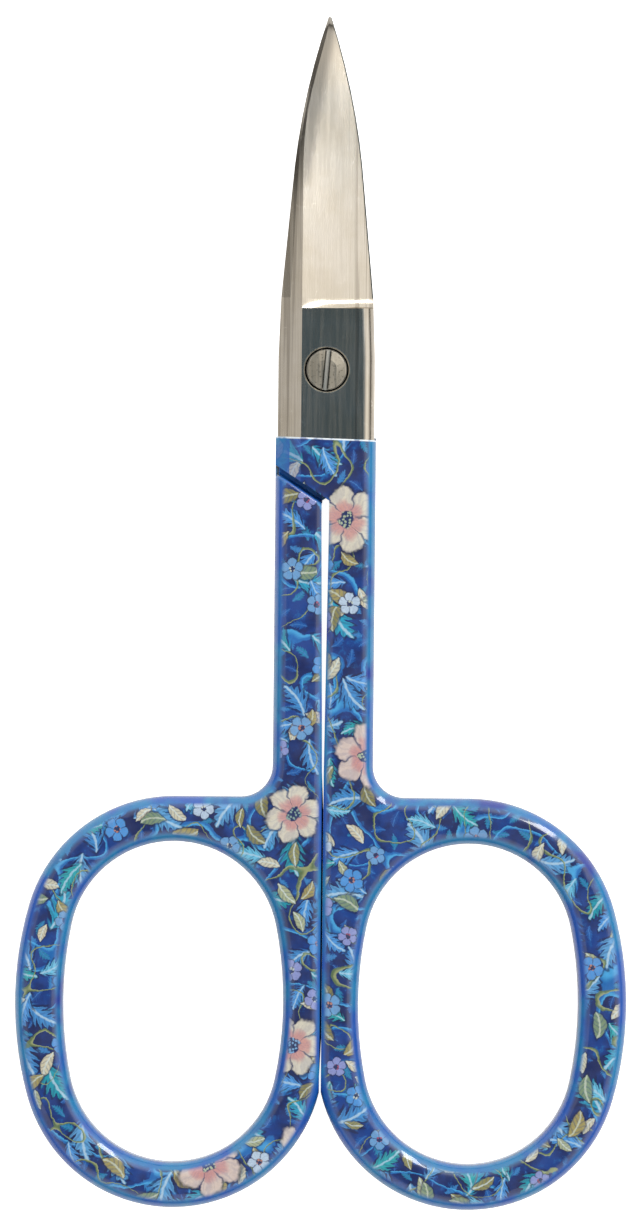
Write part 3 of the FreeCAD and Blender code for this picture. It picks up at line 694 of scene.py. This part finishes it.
def gap_lacquer():
    """Blue lacquer pooled between the front plate's end and the rear shoulder, with a low cove."""
    left = max(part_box(node)[0][0] for node in ("rear_handle_coat", "front_handle_coat")) + FILM_INSET
    right = -FILM_INSET
    steel_low, steel_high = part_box("rear_half")
    shear = (steel_low[2] + steel_high[2]) / 2 - SHEAR_GAP / 2
    verts = []
    for i in range(GAP_COLUMNS + 1):
        x = left + (right - left) * i / GAP_COLUMNS
        plate_end = PLATE_END_Y - PLATE_END_LEAN * x
        for j in range(GAP_ROWS + 1):
            share = j / GAP_ROWS
            rise = FILM_THICKNESS + COVE_HEIGHT * max(0.0, (share - COVE_START) / (1 - COVE_START)) ** 2
            verts.append((x, plate_end - GAP_WIDTH * share, shear + rise))
    faces = []
    column = GAP_ROWS + 1
    for i in range(GAP_COLUMNS):
        for j in range(GAP_ROWS):
            a = i * column + j
            faces.append((a, a + 1, a + column + 1, a + column))
    count = len(verts)
    verts += [(x, y, shear - FILM_INSET) for x, y, _ in verts]
    faces += [tuple(count + k for k in reversed(face)) for face in faces]
    rim = [i * column for i in range(GAP_COLUMNS + 1)]
    rim += [GAP_COLUMNS * column + j for j in range(1, column)]
    rim += [i * column + GAP_ROWS for i in range(GAP_COLUMNS - 1, -1, -1)]
    rim += range(GAP_ROWS - 1, 0, -1)
    for a, c in zip(rim, rim[1:] + rim[:1]):
        faces.append((a, c, c + count, a + count))
    finish_piece("gap_lacquer", verts, faces, lacquer("gap lacquer", "1558b8", "2480e0"))


def finish_piece(name, verts, faces, material):
    """A smooth lacquer piece that stays with the rear half."""
    mesh = bpy.data.meshes.new(name)
    mesh.from_pydata(verts, [], faces)
    work = bmesh.new()
    work.from_mesh(mesh)
    bmesh.ops.recalc_face_normals(work, faces=work.faces)
    work.to_mesh(mesh)
    work.free()
    mesh.polygons.foreach_set("use_smooth", [True] * len(mesh.polygons))
    mesh.materials.append(material)
    piece = add_object(name, mesh)
    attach(piece, "rear")


contact_painted_shade_ridge()
gap_lacquer()


# ---------------------------------------------------------------- floor, light, camera

def white_floor():
    material, b, shader = new_material("studio floor")
    grain = b.noise(millimetres(b), 0.4, 2.0)
    b.feed(shader.inputs["Base Color"], b.mix(grain, (0.93, 0.93, 0.93, 1), (0.96, 0.96, 0.96, 1)))
    shader.inputs["Roughness"].default_value = 0.9
    shader.inputs["Specular IOR Level"].default_value = 0.1
    shader.inputs["Emission Color"].default_value = (1, 1, 1, 1)
    seen = b.place("ShaderNodeLightPath").outputs["Is Camera Ray"]
    b.feed(shader.inputs["Emission Strength"], b.ramp(seen, 0.0, 1.0, 0.1, 0.95, smooth=False))
    mesh = bpy.data.meshes.new("floor")
    half = FLOOR_HALF_SIZE
    corners = [(x, y, low[2]) for x, y in ((-half, -half), (half, -half), (half, half), (-half, half))]
    mesh.from_pydata(corners, [], [(0, 1, 2, 3)])
    mesh.materials.append(material)
    add_object("floor", mesh)


def soft_light(name, azimuth, elevation, distance, width, height, power, aim=(0, -0.02, 0)):
    light = bpy.data.lights.new(name, "AREA")
    light.shape = "RECTANGLE"
    light.size = width
    light.size_y = height
    light.energy = power
    lamp = add_object(name, light)
    az = math.radians(azimuth)
    el = math.radians(elevation)
    offset = Vector((math.cos(az) * math.cos(el), math.sin(az) * math.cos(el), math.sin(el))) * distance
    lamp.location = Vector(aim) + offset
    lamp.rotation_euler = (-offset).to_track_quat("-Z", "Y").to_euler()


def surroundings():
    """White studio: dark overhead where the stand hangs, a grey flag on the left, brighter ends."""
    world = bpy.data.worlds.new("studio")
    bpy.context.scene.world = world
    world.use_nodes = True
    world.node_tree.nodes.clear()
    b = Board(world.node_tree)
    direction = b.place("ShaderNodeTexCoord").outputs["Generated"]
    x, y, z = b.split(direction)
    ends = b.ramp(b.math("ABSOLUTE", y), 0.35, 0.6)
    value = b.math("MULTIPLY_ADD", ends, 0.3, 0.92)
    window = b.both(b.ramp(x, 0.3, 0.42), b.invert(ends))
    value = b.math("ADD", value, b.math("MULTIPLY", window, 0.26))
    flag = b.both(b.ramp(x, -0.62, -0.3, 1.0, 0.0), b.both(b.ramp(z, 0.2, 0.45), b.invert(ends)))
    value = b.both(value, b.math("MULTIPLY_ADD", flag, -0.25, 1.0))
    low_sky = b.either(b.ramp(z, 0.15, 0.62, 0.16, 1.0), b.ramp(y, 0.35, 0.6))
    value = b.both(value, low_sky)
    stand = b.ramp(z, 0.93, 0.985)
    value = b.both(value, b.math("MULTIPLY_ADD", stand, -0.9, 1.0))
    tone = b.mix(stand, (1.0, 0.975, 0.93, 1.0), (0.62, 1.0, 1.3, 1.0))
    colour = b.vector("SCALE", tone, scale=value)
    background = b.place("ShaderNodeBackground", {"Color": colour, "Strength": 1.0})
    output = b.place("ShaderNodeOutputWorld")
    b.feed(output.inputs[0], background.outputs[0])


def camera_above():
    """Camera straight above, with the object's length filling its share of the frame's height."""
    data = bpy.data.cameras.new("camera")
    data.sensor_fit = "AUTO"
    data.sensor_width = SENSOR_WIDTH
    data.lens = SENSOR_WIDTH * LENS_DISTANCE * OBJECT_SHARE / (high[1] - low[1])
    camera = add_object("camera", data)
    camera.location = (CAMERA_SHIFT, (low[1] + high[1]) / 2, high[2] + LENS_DISTANCE)
    camera.rotation_euler = (0, 0, CAMERA_LEAN)
    bpy.context.scene.camera = camera


white_floor()
surroundings()
soft_light("key strip", 52, 48, 0.6, 0.08, 0.42, 1.45)
camera_above()
bpy.context.scene.view_settings.view_transform = "Standard"
